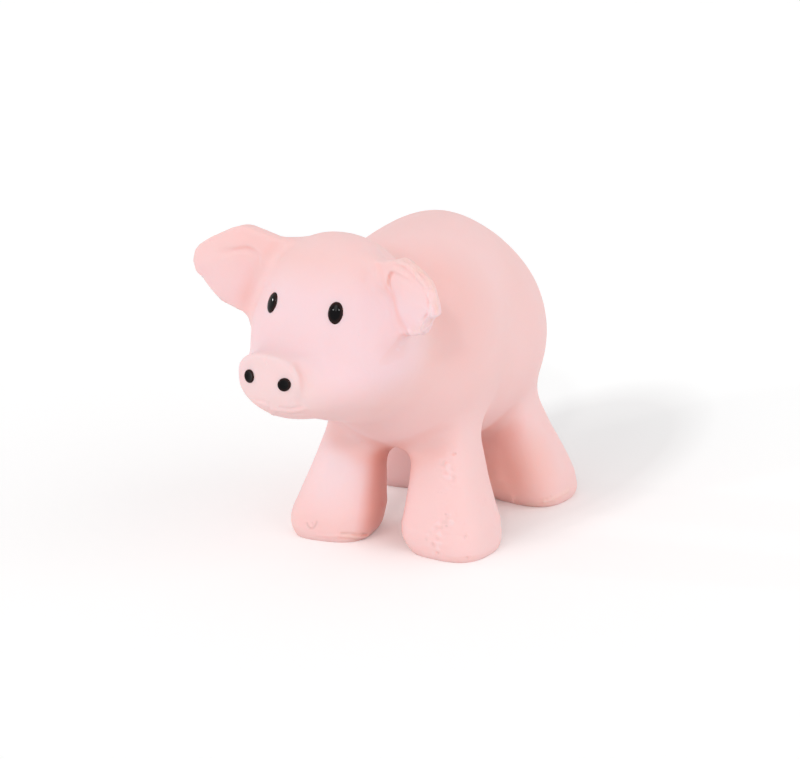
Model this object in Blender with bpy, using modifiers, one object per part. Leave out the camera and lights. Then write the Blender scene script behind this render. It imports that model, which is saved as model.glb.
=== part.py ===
"""Toy farm pig: a hollow cast rubber pig that stands on four feet, with a rattle sealed inside it.

Lengths are in metres and Z points up. The pig faces -Y and its left side is at +X. The floor is at
z = 0, and the last step centres the figure over the origin. The rubber is one casting, so the body,
head, ears, legs and tail share one solid, which the forms below describe.
"""
import math

import bmesh
import bpy
import numpy as np
from mathutils import Matrix, Vector

# Fits shared by every piece
WALL = 0.003
CLEARANCE = 0.0003
OVERRUN = 0.004
WELD_DISTANCE = 0.00001

# Trunk: an egg form, with a second one behind it for the rump and a third in front for the chest
BELLY_HEIGHT = 0.0192
TORSO_HALF_WIDTH = 0.0226
TORSO_HALF_LENGTH = 0.0340
TORSO_HALF_HEIGHT = 0.0293
TORSO_SETBACK = -0.0020
TORSO_TILT = math.radians(-1.4)
RUMP_HALF_WIDTH = 0.0229
RUMP_HALF_LENGTH = 0.0270
RUMP_HALF_HEIGHT = 0.0255
RUMP_SETBACK = 0.0132
RUMP_DROP = 0.0045
CHEST_HALF_WIDTH = 0.0220
CHEST_HALF_LENGTH = 0.0203
CHEST_HALF_HEIGHT = 0.0224
CHEST_FORWARD = 0.0203
RUMP_BLEND = 0.006
CHEST_BLEND = 0.010

# Head: it turns about a neck point, so the sizes below are those of a head that looks straight ahead
NECK_FORWARD = 0.0250
NECK_HEIGHT = 0.0500
HEAD_TURN = math.radians(12.5)
HEAD_ROLL = math.radians(0.4)
SKULL_HALF_WIDTH = 0.0217
SKULL_HALF_LENGTH = 0.0155
SKULL_HALF_HEIGHT = 0.0223
SKULL_FORWARD = 0.0172
SKULL_RISE = 0.0065
SKULL_TILT = math.radians(6.6)
MUZZLE_HALF_WIDTH = 0.0160
MUZZLE_HALF_LENGTH = 0.0130
MUZZLE_HALF_HEIGHT = 0.0087
MUZZLE_FORWARD = 0.0283
MUZZLE_DROP = 0.0023
MUZZLE_TILT = math.radians(6.6)
SNOUT_HALF_WIDTH = 0.0120
SNOUT_HALF_LENGTH = 0.0049
SNOUT_HALF_HEIGHT = 0.0074
SNOUT_FORWARD = 0.0390
SNOUT_DROP = 0.0023
SNOUT_TILT = math.radians(4.1)
HEAD_BLEND = 0.008
MUZZLE_BLEND = 0.010
SNOUT_BLEND = 0.003

# Ears: four flat leaves between six corners, each corner measured outwards, forwards and up
EAR_THICKNESS = 0.0048
EAR_ROUNDING = 0.0035
EAR_ROOT_TOP_OUT = 0.0154
EAR_ROOT_TOP_FORWARD = 0.0226
EAR_ROOT_TOP_RISE = 0.0237
EAR_PEAK_OUT = 0.0201
EAR_PEAK_FORWARD = 0.0277
EAR_PEAK_RISE = 0.0252
EAR_CROWN_OUT = 0.0280
EAR_CROWN_FORWARD = 0.0289
EAR_CROWN_RISE = 0.0227
EAR_TIP_OUT = 0.0325
EAR_TIP_FORWARD = 0.0282
EAR_TIP_RISE = 0.0197
EAR_LOBE_OUT = 0.0280
EAR_LOBE_FORWARD = 0.0257
EAR_LOBE_RISE = 0.0151
EAR_ROOT_LOW_OUT = 0.0151
EAR_ROOT_LOW_FORWARD = 0.0228
EAR_ROOT_LOW_RISE = 0.0081
EAR_FOLD_BLEND = 0.0015
EAR_BLEND = 0.005

# Legs: cones that lean in towards the trunk and flare to round feet
LEG_HEIGHT = 0.034
LEG_BLEND = 0.006
FOOT_ROUNDING = 0.0030
SOLE_TRIM = 0.0006
FOOT_SPREAD_ALONG = 0.0240
FRONT_FOOT_OUT = 0.0161
FRONT_FOOT_RADIUS = 0.0125
FRONT_LEG_TOP_RADIUS = 0.0074
FRONT_LEG_LEAN_IN = 0.0058
FRONT_LEG_LEAN_BACK = 0.0078
REAR_FOOT_OUT = 0.0172
REAR_FOOT_RADIUS = 0.0133
REAR_LEG_TOP_RADIUS = 0.0075
REAR_LEG_LEAN_IN = 0.0082
REAR_LEG_LEAN_FORWARD = 0.0048

# Tail: a curl in low relief on the rump
TAIL_CURL_RADIUS = 0.0046
TAIL_EYE_RADIUS = 0.0024
TAIL_THICKNESS = 0.0027
TAIL_HEIGHT = 0.0520
TAIL_BLEND = 0.0012

# Eyes and nostrils: drops of black enamel, each in a shallow seat, measured on the straight head
EYE_OUT = 0.0094
EYE_RISE = 0.0133
EYE_HALF_WIDTH = 0.0018
EYE_HALF_HEIGHT = 0.0027
NOSTRIL_OUT = 0.0052
NOSTRIL_DROP = 0.0010
NOSTRIL_HALF_WIDTH = 0.0016
NOSTRIL_HALF_HEIGHT = 0.0018
ENAMEL_HALF_DEPTH = 0.0005

# Plug: it closes the hole in the belly that the rubber was poured through
PLUG_RADIUS = 0.0045
PLUG_FLANGE_RADIUS = 0.0065
PLUG_FLANGE_THICKNESS = 0.0015
PLUG_PAD_MARGIN = 0.0005

# Rattle: a round two-part capsule with loose pellets in it
RATTLE_RADIUS = 0.0090
RATTLE_WALL = 0.0015
RATTLE_LIP_HEIGHT = 0.0015
PELLET_RADIUS = 0.0016
PELLET_RING_RADIUS = 0.0038

# Counts and shares, which set no length
RING_PELLETS = 4
EGG_SEGMENTS = 32
EGG_RINGS = 16
LEG_SEGMENTS = 32
DROP_SEGMENTS = 16
DROP_RINGS = 8
TURNED_STEPS = 24
ARC_STEPS = 6
TAIL_STEPS = 16
TAIL_TURNS = 0.95
VOXEL_SHARE = 0.36
SMOOTH_SHARE = 0.5
MELT_ROUNDS = 3
MELT_STEPS = 2
SKIN_TRIANGLES = 6400
CAVITY_TRIANGLES = 1600
PROBE_SHARE = 0.003
SEARCH_STEPS = 40

# Heights and places that follow from the sizes above
TORSO_HEIGHT = BELLY_HEIGHT + TORSO_HALF_HEIGHT
TORSO_TOP = TORSO_HEIGHT + TORSO_HALF_HEIGHT
PELLET_REACH = RATTLE_RADIUS - RATTLE_WALL - PELLET_RADIUS - CLEARANCE

RUBBER_PINK = (0.905, 0.610, 0.625)
PLUG_PINK = (0.860, 0.545, 0.560)
ENAMEL_BLACK = (0.012, 0.011, 0.012)
CAPSULE_WHITE = (0.82, 0.80, 0.76)
CAPSULE_BLUE = (0.18, 0.38, 0.62)
PELLET_GREY = (0.56, 0.57, 0.58)


def clear_scene():
    for item in list(bpy.data.objects):
        bpy.data.objects.remove(item)


def new_collection(name):
    collection = bpy.data.collections.new(name)
    bpy.context.scene.collection.children.link(collection)
    return collection


def new_material(name, colour, roughness, metallic=0.0):
    material = bpy.data.materials.new(name)
    material.use_nodes = True
    shader = material.node_tree.nodes["Principled BSDF"]
    shader.inputs["Base Color"].default_value = (*colour, 1.0)
    shader.inputs["Roughness"].default_value = roughness
    shader.inputs["Metallic"].default_value = metallic
    return material


# Forms: each one measures its distance to points and adds itself to a mesh as a primitive


def to_local(points, place):
    """Points of the world, as an array of rows, in the frame of the matrix place."""
    matrix = np.array(place.inverted())
    return points @ matrix[:3, :3].T + matrix[:3, 3]


def blend(first, second, width):
    """The nearer of two distances, with a soft fillet where they come within width of each other."""
    overlap = np.maximum(width - np.abs(first - second), 0) / width
    return np.minimum(first, second) - overlap**2 * width / 4


class Egg:
    """An ellipsoid: its centre, its three half sizes and its tilt about X."""

    def __init__(self, centre, halves, tilt=0.0, frame=None):
        self.place = (frame or Matrix()) @ Matrix.Translation(centre) @ Matrix.Rotation(tilt, 4, "X")
        self.halves = np.array(halves)

    def distance(self, points):
        local = to_local(points, self.place)
        reach = np.linalg.norm(local / self.halves, axis=1)
        slope = np.linalg.norm(local / self.halves**2, axis=1)
        return reach * (reach - 1) / np.maximum(slope, 1e-9)

    def add_solid(self, bm, inset):
        size = Matrix.Diagonal((*(self.halves - inset), 1))
        bmesh.ops.create_uvsphere(
            bm, u_segments=EGG_SEGMENTS, v_segments=EGG_RINGS, radius=1, matrix=self.place @ size)


class Leg:
    """A leaning cone with a rounded foot: its foot and top centres at two heights, and their radii."""

    def __init__(self, foot, top, foot_radius, top_radius):
        self.foot = np.array(foot)
        self.top = np.array(top)
        self.foot_radius = foot_radius
        self.top_radius = top_radius

    def distance(self, points):
        height = self.top[2] - self.foot[2]
        share = np.clip((points[:, 2] - self.foot[2]) / height, 0, 1)
        centre = self.foot + share[:, None] * (self.top - self.foot)
        radius = self.foot_radius + share * (self.top_radius - self.foot_radius)
        slant = height / math.hypot(height, self.foot_radius - self.top_radius)
        side = (np.hypot(*(points - centre)[:, :2].T) - radius) * slant
        below = self.foot[2] - points[:, 2]
        above = points[:, 2] - self.top[2]
        end = np.maximum(below, above)
        outside = np.hypot(np.maximum(side + FOOT_ROUNDING, 0), np.maximum(end + FOOT_ROUNDING, 0))
        inside = np.minimum(np.maximum(side, end) + FOOT_ROUNDING, 0)
        return outside + inside - FOOT_ROUNDING

    def add_solid(self, bm, inset):
        height = self.top[2] - self.foot[2] - inset
        cone = bmesh.ops.create_cone(
            bm, cap_ends=True, segments=LEG_SEGMENTS, radius1=self.foot_radius - inset,
            radius2=self.top_radius - inset, depth=height)
        lean = Matrix()
        lean[0][2], lean[1][2] = (self.top - self.foot)[:2] / (self.top - self.foot)[2]
        lift = Matrix.Translation((0, 0, height / 2))
        place = Matrix.Translation(self.foot + np.array((0, 0, inset)))
        bmesh.ops.transform(bm, matrix=place @ lean @ lift, verts=cone["verts"])


class Rope:
    """A round rope through a row of points that lie closer together than its radius."""

    def __init__(self, points, radius):
        self.points = [np.array(point) for point in points]
        self.radius = radius

    def distance(self, points):
        gap = np.full(len(points), np.inf)
        for start, end in zip(self.points, self.points[1:]):
            edge = end - start
            from_start = points - start
            share = np.clip(from_start @ edge / (edge @ edge), 0, 1)
            gap = np.minimum(gap, np.linalg.norm(from_start - share[:, None] * edge, axis=1))
        return gap - self.radius

    def add_solid(self, bm, inset):
        for point in self.points:
            bmesh.ops.create_uvsphere(
                bm, u_segments=DROP_SEGMENTS, v_segments=DROP_RINGS, radius=self.radius - inset,
                matrix=Matrix.Translation(point))


class Leaf:
    """A flat triangle grown by a radius in its plane, with a given thickness across it."""

    def __init__(self, corners, radius, thickness):
        self.corners = [np.array(corner) for corner in corners]
        self.radius = radius
        self.thickness = thickness
        normal = np.cross(self.corners[1] - self.corners[0], self.corners[2] - self.corners[0])
        self.normal = normal / np.linalg.norm(normal)

    def distance(self, points):
        first, second, third = self.corners
        normal = self.normal
        stretch = 2 * self.radius / self.thickness
        points = points + np.outer((points - first) @ normal * (stretch - 1), normal)
        inside = np.ones(len(points), dtype=bool)
        edge_gap = np.full(len(points), np.inf)
        for start, end in ((first, second), (second, third), (third, first)):
            edge = end - start
            from_start = points - start
            inside &= from_start @ np.cross(edge, normal) <= 0
            share = np.clip(from_start @ edge / (edge @ edge), 0, 1)
            edge_gap = np.minimum(edge_gap, np.linalg.norm(from_start - share[:, None] * edge, axis=1))
        plane_gap = np.abs((points - first) @ normal)
        return np.where(inside, plane_gap, edge_gap) - self.radius

    def add_solid(self, bm, inset):
        balls = []
        radius = self.radius - inset
        flatten = (self.thickness / 2 - self.radius) * np.outer(self.normal, self.normal)
        lens = Matrix((radius * np.eye(3) + flatten).tolist()).to_4x4()
        for corner in self.corners:
            ball = bmesh.ops.create_uvsphere(
                bm, u_segments=DROP_SEGMENTS, v_segments=DROP_RINGS, radius=1,
                matrix=Matrix.Translation(corner) @ lens)
            balls += ball["verts"]
        hull = bmesh.ops.convex_hull(bm, input=balls)
        spare = [item for item in hull["geom_interior"] if isinstance(item, bmesh.types.BMVert)]
        bmesh.ops.delete(bm, geom=spare, context="VERTS")


def head_frame():
    """The matrix that turns the straight head to where the pig looks."""
    neck = Matrix.Translation((0, -NECK_FORWARD, NECK_HEIGHT))
    turn = Matrix.Rotation(-HEAD_TURN, 4, "Z") @ Matrix.Rotation(HEAD_ROLL, 4, "Y")
    return neck @ turn @ neck.inverted()


HEAD_FRAME = head_frame()


def head_point(out, forward, rise):
    """A place on the straight head, measured from the neck point."""
    return Vector((out, -NECK_FORWARD - forward, NECK_HEIGHT + rise))


TORSO = Egg(
    (0, TORSO_SETBACK, TORSO_HEIGHT), (TORSO_HALF_WIDTH, TORSO_HALF_LENGTH, TORSO_HALF_HEIGHT),
    TORSO_TILT)
RUMP = Egg(
    (0, RUMP_SETBACK, TORSO_HEIGHT - RUMP_DROP), (RUMP_HALF_WIDTH, RUMP_HALF_LENGTH, RUMP_HALF_HEIGHT))
CHEST = Egg(
    (0, -CHEST_FORWARD, TORSO_HEIGHT), (CHEST_HALF_WIDTH, CHEST_HALF_LENGTH, CHEST_HALF_HEIGHT))
SKULL = Egg(
    head_point(0, SKULL_FORWARD, SKULL_RISE), (SKULL_HALF_WIDTH, SKULL_HALF_LENGTH, SKULL_HALF_HEIGHT),
    SKULL_TILT, HEAD_FRAME)
MUZZLE = Egg(
    head_point(0, MUZZLE_FORWARD, -MUZZLE_DROP),
    (MUZZLE_HALF_WIDTH, MUZZLE_HALF_LENGTH, MUZZLE_HALF_HEIGHT), MUZZLE_TILT, HEAD_FRAME)
SNOUT = Egg(
    head_point(0, SNOUT_FORWARD, -SNOUT_DROP), (SNOUT_HALF_WIDTH, SNOUT_HALF_LENGTH, SNOUT_HALF_HEIGHT),
    SNOUT_TILT, HEAD_FRAME)


def make_legs():
    legs = []
    for side in (1, -1):
        legs.append(Leg(
            (side * FRONT_FOOT_OUT, -FOOT_SPREAD_ALONG, -SOLE_TRIM),
            (side * (FRONT_FOOT_OUT - FRONT_LEG_LEAN_IN), FRONT_LEG_LEAN_BACK - FOOT_SPREAD_ALONG, LEG_HEIGHT),
            FRONT_FOOT_RADIUS, FRONT_LEG_TOP_RADIUS))
        legs.append(Leg(
            (side * REAR_FOOT_OUT, FOOT_SPREAD_ALONG, -SOLE_TRIM),
            (side * (REAR_FOOT_OUT - REAR_LEG_LEAN_IN), FOOT_SPREAD_ALONG - REAR_LEG_LEAN_FORWARD, LEG_HEIGHT),
            REAR_FOOT_RADIUS, REAR_LEG_TOP_RADIUS))
    return legs


def make_ear(side):
    """The four leaves of one ear, from its root to its folded tip."""

    def corner(out, forward, rise):
        return HEAD_FRAME @ head_point(side * out, forward, rise)

    root_top = corner(EAR_ROOT_TOP_OUT, EAR_ROOT_TOP_FORWARD, EAR_ROOT_TOP_RISE)
    peak = corner(EAR_PEAK_OUT, EAR_PEAK_FORWARD, EAR_PEAK_RISE)
    crown = corner(EAR_CROWN_OUT, EAR_CROWN_FORWARD, EAR_CROWN_RISE)
    tip = corner(EAR_TIP_OUT, EAR_TIP_FORWARD, EAR_TIP_RISE)
    lobe = corner(EAR_LOBE_OUT, EAR_LOBE_FORWARD, EAR_LOBE_RISE)
    root_low = corner(EAR_ROOT_LOW_OUT, EAR_ROOT_LOW_FORWARD, EAR_ROOT_LOW_RISE)
    outlines = (
        (root_top, peak, root_low), (peak, lobe, root_low), (peak, crown, lobe), (crown, tip, lobe))
    return [Leaf(outline, EAR_ROUNDING, EAR_THICKNESS) for outline in outlines]


LEGS = make_legs()
EARS = [make_ear(1), make_ear(-1)]


def core_distance(points):
    """Distance to the trunk, head and legs, melted together. Inside, it is negative."""
    trunk = blend(TORSO.distance(points), RUMP.distance(points), RUMP_BLEND)
    trunk = blend(trunk, CHEST.distance(points), CHEST_BLEND)
    head = blend(SKULL.distance(points), MUZZLE.distance(points), MUZZLE_BLEND)
    head = blend(head, SNOUT.distance(points), SNOUT_BLEND)
    core = blend(trunk, head, HEAD_BLEND)
    for leg in LEGS:
        core = blend(core, leg.distance(points), LEG_BLEND)
    return core


def eared_distance(points):
    """Distance to the whole casting but its tail."""
    whole = core_distance(points)
    for leaves in EARS:
        ear = leaves[0].distance(points)
        for leaf in leaves[1:]:
            ear = blend(ear, leaf.distance(points), EAR_FOLD_BLEND)
        whole = blend(whole, ear, EAR_BLEND)
    return whole


def first_hit(distance, start, direction, reach):
    """The first point of the surface on a straight line from start, found by stepping and halving."""
    start = np.array(start)
    direction = np.array(direction)
    near, far = 0.0, reach
    for step in range(1, SEARCH_STEPS + 1):
        far = reach * step / SEARCH_STEPS
        if distance((start + far * direction)[None])[0] < 0:
            break
        near = far
    for _ in range(SEARCH_STEPS):
        middle = (near + far) / 2
        if distance((start + middle * direction)[None])[0] < 0:
            far = middle
        else:
            near = middle
    return Vector(start + near * direction)


def steepest(distance, points):
    """The distance at each point and its outward slope, from a small probe along each axis."""
    probe = WALL * PROBE_SHARE
    here = distance(points)
    slopes = [(distance(points + axis * probe) - here) / probe for axis in np.eye(3)]
    return here, np.stack(slopes, axis=1)


def make_tail():
    """The curled tail: a flat spiral that lies half sunk in the rump."""
    behind = RUMP_SETBACK + 2 * RUMP_HALF_LENGTH
    points = []
    for step in range(TAIL_STEPS):
        share = step / (TAIL_STEPS - 1)
        radius = TAIL_CURL_RADIUS + (TAIL_EYE_RADIUS - TAIL_CURL_RADIUS) * share
        angle = math.tau * TAIL_TURNS * share - math.pi / 2
        start = (radius * math.cos(angle), behind, TAIL_HEIGHT + radius * math.sin(angle))
        points.append(first_hit(core_distance, start, (0, -1, 0), behind))
    return Rope(points, TAIL_THICKNESS / 2)


TAIL = make_tail()


def skin_distance(points):
    """Distance to the outside of the whole casting."""
    return blend(eared_distance(points), TAIL.distance(points), TAIL_BLEND)


# Meshes and cuts


def add_object(name, mesh, collection, material=None, place=None):
    item = bpy.data.objects.new(name, mesh)
    collection.objects.link(item)
    if material:
        mesh.materials.append(material)
    item.matrix_world = place or Matrix()
    return item


def mesh_from(bm, name):
    mesh = bpy.data.meshes.new(name)
    bm.to_mesh(mesh)
    bm.free()
    return mesh


def as_cutter(item):
    item.hide_render = True
    item.display_type = "WIRE"
    return item


def cut(item, cutter):
    modifier = item.modifiers.new(f"cut {cutter.name}", "BOOLEAN")
    modifier.operation = "DIFFERENCE"
    modifier.object = cutter


def fuse(item, voxel):
    """Replace an object's overlapping solids by the one closed skin round them all."""
    modifier = item.modifiers.new("fuse", "REMESH")
    modifier.mode = "VOXEL"
    modifier.voxel_size = voxel
    graph = bpy.context.evaluated_depsgraph_get()
    mesh = bpy.data.meshes.new_from_object(item.evaluated_get(graph))
    item.modifiers.remove(modifier)
    item.data = mesh


def melt(mesh, distance, level):
    """Move a mesh onto the surface where the distance has the given level, and even it out."""
    bm = bmesh.new()
    bm.from_mesh(mesh)
    for _ in range(MELT_ROUNDS):
        bmesh.ops.smooth_vert(
            bm, verts=bm.verts, factor=SMOOTH_SHARE, use_axis_x=True, use_axis_y=True, use_axis_z=True)
        points = np.array([vert.co for vert in bm.verts])
        for _ in range(MELT_STEPS):
            here, slope = steepest(distance, points)
            points = points - slope * ((here - level) / (slope**2).sum(axis=1))[:, None]
        for vert, point in zip(bm.verts, points):
            vert.co = point
    bm.to_mesh(mesh)
    bm.free()


def thin_out(item, triangles):
    """Drop the triangles that the shape can do without."""
    item.data.calc_loop_triangles()
    modifier = item.modifiers.new("thin out", "DECIMATE")
    modifier.ratio = min(1, triangles / len(item.data.loop_triangles))


def cast_form(name, forms, distance, level, triangles, collection):
    """One closed mesh of the melted forms, drawn in by the level where that is below zero."""
    bm = bmesh.new()
    for form in forms:
        form.add_solid(bm, -level)
    item = add_object(name, mesh_from(bm, name), collection)
    fuse(item, WALL * VOXEL_SHARE)
    melt(item.data, distance, level)
    item.data.shade_smooth()
    thin_out(item, triangles)
    return item


def turned(name, profile, collection, material, place):
    """A solid turned about Z from a profile of (radius, height) pairs that runs down its outside."""
    bm = bmesh.new()
    verts = [bm.verts.new((radius, 0, height)) for radius, height in profile]
    for start, end in zip(verts, verts[1:]):
        bm.edges.new((start, end))
    item = add_object(name, mesh_from(bm, name), collection, material, place)
    modifier = item.modifiers.new("turn", "SCREW")
    modifier.steps = TURNED_STEPS
    modifier.render_steps = TURNED_STEPS
    modifier.use_merge_vertices = True
    modifier.merge_threshold = WELD_DISTANCE
    return item


def drop(name, halves, place, collection, material=None):
    """A flat round drop of the given half sizes."""
    bm = bmesh.new()
    bmesh.ops.create_uvsphere(
        bm, u_segments=DROP_SEGMENTS, v_segments=DROP_RINGS, radius=1, matrix=Matrix.Diagonal((*halves, 1)))
    mesh = mesh_from(bm, name)
    mesh.shade_smooth()
    return add_object(name, mesh, collection, material, place)


def cylinder(name, radius, bottom, top, centre, collection):
    bm = bmesh.new()
    bmesh.ops.create_cone(
        bm, cap_ends=True, segments=TURNED_STEPS, radius1=radius, radius2=radius, depth=top - bottom,
        matrix=Matrix.Translation((0, 0, (top + bottom) / 2)))
    return add_object(name, mesh_from(bm, name), collection, None, Matrix.Translation(centre))


# Pieces


def surface_place(out, rise):
    """The frame of a drop on the face: Z stands off the rubber and Y points up."""
    start = HEAD_FRAME @ head_point(out, 2 * SNOUT_FORWARD, rise)
    forward = HEAD_FRAME.to_3x3() @ Vector((0, 1, 0))
    point = first_hit(core_distance, start, forward, 2 * SNOUT_FORWARD)
    _, slopes = steepest(core_distance, np.array(point)[None])
    normal = Vector(slopes[0]).normalized()
    across = Vector((0, 0, 1)).cross(normal).normalized()
    upward = normal.cross(across)
    turn = Matrix((across, upward, normal)).transposed().to_4x4()
    return Matrix.Translation(point) @ turn


def make_enamel(skin, parts, cutters, material):
    """The eyes and nostrils, and the seats for them in the rubber."""
    eye = (EYE_HALF_WIDTH, EYE_HALF_HEIGHT, ENAMEL_HALF_DEPTH)
    nostril = (NOSTRIL_HALF_WIDTH, NOSTRIL_HALF_HEIGHT, ENAMEL_HALF_DEPTH)
    drops = (
        ("left_eye", EYE_OUT, EYE_RISE, eye),
        ("right_eye", -EYE_OUT, EYE_RISE, eye),
        ("left_nostril", NOSTRIL_OUT, -NOSTRIL_DROP, nostril),
        ("right_nostril", -NOSTRIL_OUT, -NOSTRIL_DROP, nostril))
    for name, out, rise, halves in drops:
        place = surface_place(out, rise)
        drop(name, halves, place, parts, material)
        seat_halves = [half + CLEARANCE for half in halves]
        cut(skin, as_cutter(drop(f"{name}_seat", seat_halves, place, cutters)))


def wall_distance(points):
    """Distance to the rubber from inside the hollow: negative within the wall."""
    return -core_distance(points) - WALL


def plug_heights():
    """The heights of the belly's outside, of the pad under the plug's flange and of the flange's top.

    The pad reaches up to where the hollow is as wide as the flange, so that the flange lies flat.
    """
    below = (0, TORSO_SETBACK, -OVERRUN)
    belly = first_hit(core_distance, below, (0, 0, 1), TORSO_TOP).z
    over_edge = (PLUG_FLANGE_RADIUS + PLUG_PAD_MARGIN, TORSO_SETBACK, TORSO_HEIGHT)
    pad = first_hit(wall_distance, over_edge, (0, 0, -1), TORSO_HEIGHT).z
    flange_top = pad + CLEARANCE + PLUG_FLANGE_THICKNESS
    return belly, pad, flange_top


def make_plug(parts, material):
    belly, pad, flange_top = plug_heights()
    profile = (
        (0, flange_top),
        (PLUG_FLANGE_RADIUS, flange_top),
        (PLUG_FLANGE_RADIUS, pad + CLEARANCE),
        (PLUG_RADIUS, pad + CLEARANCE),
        (PLUG_RADIUS, belly),
        (0, belly))
    local = [(radius, height - belly) for radius, height in profile]
    turned("belly_plug", local, parts, material, Matrix.Translation((0, TORSO_SETBACK, belly)))


def make_skin(parts, cutters, material):
    """The rubber casting: its outside, less the hollow, the soles, the plug hole and the pad's mould."""
    forms = [TORSO, RUMP, CHEST, SKULL, MUZZLE, SNOUT, TAIL, *LEGS, *EARS[0], *EARS[1]]
    skin = cast_form("rubber_skin", forms, skin_distance, 0, SKIN_TRIANGLES, parts)
    skin.data.materials.append(material)

    hollow_forms = [TORSO, RUMP, CHEST, SKULL, *LEGS]
    hollow = cast_form("hollow", hollow_forms, core_distance, -WALL, CAVITY_TRIANGLES, cutters)
    belly, pad, _ = plug_heights()
    centre = (0, TORSO_SETBACK, 0)
    pad_radius = PLUG_FLANGE_RADIUS + PLUG_PAD_MARGIN
    pad_mould = cylinder("plug_pad", pad_radius, belly - OVERRUN, pad, centre, cutters)
    cut(hollow, as_cutter(pad_mould))
    cut(skin, as_cutter(hollow))

    hole_radius = PLUG_RADIUS + CLEARANCE
    hole = cylinder("plug_hole", hole_radius, belly - OVERRUN, pad + OVERRUN, centre, cutters)
    cut(skin, as_cutter(hole))

    bm = bmesh.new()
    bmesh.ops.create_cube(bm, size=TORSO_TOP * 4, matrix=Matrix.Translation((0, 0, -TORSO_TOP * 2)))
    cut(skin, as_cutter(add_object("floor", mesh_from(bm, "floor"), cutters)))
    return skin


def cup_profiles():
    """The outlines of the capsule's lower and upper cups, which lap at the middle."""
    inner = RATTLE_RADIUS - RATTLE_WALL
    lap = RATTLE_RADIUS - RATTLE_WALL / 2
    lip_outside = lap - CLEARANCE / 2
    recess = lap + CLEARANCE / 2
    recess_top = RATTLE_LIP_HEIGHT + CLEARANCE

    def arc(radius, start, end):
        """Points on a circle between two heights, from start to end."""
        first, last = math.asin(start / radius), math.asin(end / radius)
        angles = [first + (last - first) * step / ARC_STEPS for step in range(ARC_STEPS + 1)]
        return [(radius * math.cos(angle), radius * math.sin(angle)) for angle in angles]

    lower = [(0, -inner), *arc(inner, -inner, 0)[1:], (inner, RATTLE_LIP_HEIGHT)]
    lower += [(lip_outside, RATTLE_LIP_HEIGHT), (lip_outside, 0)]
    lower += [*arc(RATTLE_RADIUS, 0, -RATTLE_RADIUS)[:-1], (0, -RATTLE_RADIUS)]
    upper = [(0, RATTLE_RADIUS), *arc(RATTLE_RADIUS, RATTLE_RADIUS, CLEARANCE)[1:]]
    upper += [(recess, CLEARANCE), (recess, recess_top)]
    upper += [*arc(inner, recess_top, inner)[:-1], (0, inner)]
    return lower, upper


def make_rattle(parts, lower_material, upper_material, pellet_material):
    """The capsule on the plug's flange and its pellets, each at rest on the lower cup."""
    _, _, flange_top = plug_heights()
    centre = Vector((0, TORSO_SETBACK, flange_top + CLEARANCE + RATTLE_RADIUS))
    lower, upper = cup_profiles()
    turned("rattle_cup_lower", lower, parts, lower_material, Matrix.Translation(centre))
    turned("rattle_cup_upper", upper, parts, upper_material, Matrix.Translation(centre))

    spots = [(0, 0)]
    for index in range(RING_PELLETS):
        angle = math.tau * index / RING_PELLETS
        spots.append((PELLET_RING_RADIUS * math.cos(angle), PELLET_RING_RADIUS * math.sin(angle)))
    for number, (across, along) in enumerate(spots, start=1):
        drop_below = math.sqrt(PELLET_REACH**2 - across**2 - along**2)
        place = Matrix.Translation(centre + Vector((across, along, -drop_below)))
        drop(f"pellet_{number}", [PELLET_RADIUS] * 3, place, parts, pellet_material)


def centre_figure(parts, cutters):
    """Hang everything on one empty and move it so that the figure's box stands over the origin."""
    figure = bpy.data.objects.new("figure_frame", None)
    items = [*parts.objects, *cutters.objects]
    parts.objects.link(figure)
    for item in items:
        item.parent = figure
    graph = bpy.context.evaluated_depsgraph_get()
    points = []
    for item in parts.objects:
        if item is not figure:
            mesh = item.evaluated_get(graph).to_mesh()
            points += [item.matrix_world @ vert.co for vert in mesh.vertices]
    points = np.array(points)
    middle = (points.min(axis=0) + points.max(axis=0)) / 2
    figure.location = (-middle[0], -middle[1], 0)


def main():
    clear_scene()
    parts = new_collection("toy_farm_pig")
    cutters = new_collection("cutters")
    rubber = new_material("pink rubber", RUBBER_PINK, 0.55)
    plug_rubber = new_material("plug rubber", PLUG_PINK, 0.6)
    enamel = new_material("black enamel", ENAMEL_BLACK, 0.12)
    lower_plastic = new_material("white plastic", CAPSULE_WHITE, 0.35)
    upper_plastic = new_material("blue plastic", CAPSULE_BLUE, 0.35)
    steel = new_material("pellet steel", PELLET_GREY, 0.3, 1.0)

    skin = make_skin(parts, cutters, rubber)
    make_enamel(skin, parts, cutters, enamel)
    make_plug(parts, plug_rubber)
    make_rattle(parts, lower_plastic, upper_plastic, steel)
    centre_figure(parts, cutters)


main()
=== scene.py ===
"""Looks of the toy farm pig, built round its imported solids.

The rubber casting is shaped here in millimetres, in the frame in which the pig faces -Y and its trunk
stands over x = 0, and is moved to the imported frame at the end.
"""
import math

import bmesh
import bpy
import numpy as np
from mathutils import Matrix, Vector
from mathutils.bvhtree import BVHTree


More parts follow.
